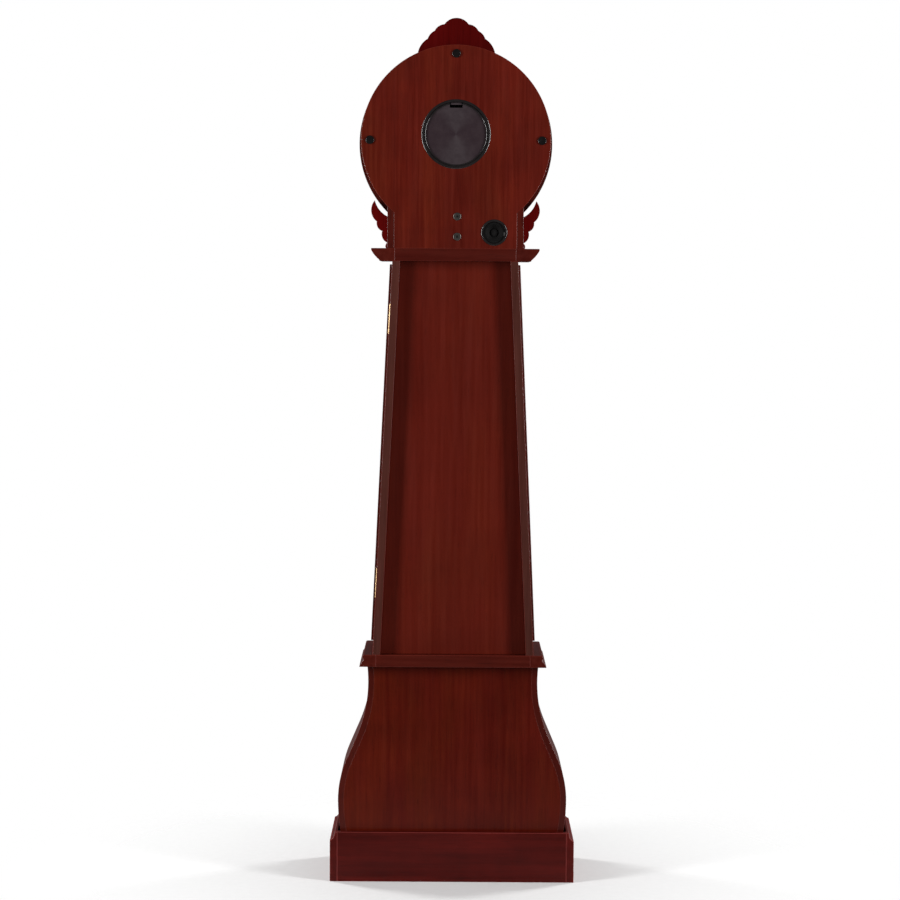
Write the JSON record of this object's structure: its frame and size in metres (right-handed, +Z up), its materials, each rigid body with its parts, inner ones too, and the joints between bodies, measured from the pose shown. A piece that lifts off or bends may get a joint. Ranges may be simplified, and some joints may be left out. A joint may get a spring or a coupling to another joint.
{
  "type": "longcase clock",
  "caption": "Tall floor clock with a round hood, tapering trunk with a hinged glazed door, pendulum, bombe base and plinth, and a rear port to set the hands.",
  "frame": {"origin": "under the middle of the plinth, on the floor", "axes": "+Z up, -Y to the front with the dial and door, +X towards the door's hinges"},
  "size_m": [0.508, 0.254, 1.8],
  "materials": {
    "case_wood": "dark red-brown stained and lacquered hardwood",
    "panel_wood": "dark red-brown stained veneer panel, fine straight grain",
    "carved_wood": "deep red stained carved wood, satin",
    "plain_wood": "plain stained softwood, matt",
    "dial_paint": "cream dial enamel with black numerals",
    "hand_paint": "black satin paint",
    "trim_brass": "polished brass",
    "hinge_brass": "pale satin brass",
    "clear_glass": "clear float glass",
    "black_plastic": "black moulded plastic",
    "grey_plastic": "dark grey satin plastic with turned sheen",
    "gear_plastic": "white moulded plastic",
    "steel": "bright steel",
    "bronze_steel": "bronzed steel bolt heads",
    "cell_jacket": "plain cell jacket",
    "speaker_paper": "black paper cone",
    "bumper_rubber": "black rubber"
  },
  "bodies": {
    "root": {"plinth_front_rail": "case_wood", "plinth_side_rails": "case_wood", "plinth_back_rail": "case_wood", "plinth_corner_blocks": "plain_wood", "base_front_panel": "panel_wood", "base_back_panel": "panel_wood", "base_sides": "case_wood", "sill_front_moulding": "case_wood", "sill_side_mouldings": "case_wood", "sill_back_rail": "case_wood", "sill_board": "plain_wood", "trunk_sides": "case_wood", "trunk_back_panel": "panel_wood", "trunk_front_rails": "case_wood", "cornice_front_moulding": "case_wood", "cornice_side_mouldings": "case_wood", "cornice_back_rail": "case_wood", "hood_seat_board": "plain_wood", "hood_drum": "case_wood", "neck_sides": "case_wood", "hood_back_panel": "panel_wood", "hood_front_board": "panel_wood", "hood_bezel": "case_wood", "crest": "carved_wood", "scroll_ears": "carved_wood", "dial_board": "dial_paint", "dial_trim_ring": "trim_brass", "dial_glass": "clear_glass", "movement_case": "black_plastic", "movement_cover": "black_plastic", "batteries": "cell_jacket", "mounting_nut": "trim_brass", "speaker_frame": "black_plastic", "speaker_cone": "speaker_paper", "access_ring": "grey_plastic", "wall_bumpers": "bumper_rubber", "connector_bolts": "bronze_steel", "fixing_block": "plain_wood", "magnetic_catch": "black_plastic", "hinge_case_leaves": "hinge_brass", "hinge_pins": "hinge_brass"},
    "door": {"door_hinge_stile": "case_wood", "door_latch_stile": "case_wood", "door_rails": "case_wood", "door_glass": "clear_glass", "door_glass_beads": "plain_wood", "door_knob": "hinge_brass", "hinge_door_leaves": "hinge_brass"},
    "pendulum": {"pendulum_rod": "plain_wood", "pendulum_leader": "steel", "pendulum_bob": "trim_brass", "rating_nut": "trim_brass"},
    "minute": {"minute_hand": "hand_paint", "centre_arbor": "steel"},
    "idler": {"idler_wheel": "gear_plastic", "setting_knob": "gear_plastic"},
    "hour": {"hour_hand": "hand_paint", "hour_wheel": "gear_plastic"},
    "port_cover": {"access_cover": "grey_plastic"},
    "chime_lever": {"chime_switch": "gear_plastic"}
  },
  "joints": [
    {"name": "door_hinge", "type": "hinge", "parent": "root", "child": "door", "pos_m": [0.16346, -0.0415, 0.607], "axis": [-0.0457, 0, 0.999], "range_deg": [0, 100]},
    {"name": "pendulum_swing", "type": "hinge", "parent": "root", "child": "pendulum", "pos_m": [0, 0.008, 1.515], "axis": [0, 1, 0], "range_deg": [-3.5, 3.5]},
    {"name": "minute_turn", "type": "hinge", "parent": "root", "child": "minute", "pos_m": [0, -0.03, 1.537], "axis": [0, 1, 0], "continuous": true},
    {"name": "idler_turn", "type": "hinge", "parent": "root", "child": "idler", "pos_m": [0, 0, 1.549], "axis": [0, 1, 0], "continuous": true},
    {"name": "hour_turn", "type": "hinge", "parent": "root", "child": "hour", "pos_m": [0, -0.025, 1.537], "axis": [0, 1, 0], "continuous": true},
    {"name": "cover_pull", "type": "slide", "parent": "root", "child": "port_cover", "axis": [0, 1, 0], "range_m": [0, 0.06]},
    {"name": "chime_slide", "type": "slide", "parent": "root", "child": "chime_lever", "axis": [1, 0, 0], "range_m": [0, 0.005]}
  ],
  "couplings": [
    {"joint": "idler_turn", "follows": "minute_turn", "ratio": -0.33333},
    {"joint": "hour_turn", "follows": "minute_turn", "ratio": 0.083333}
  ]
}
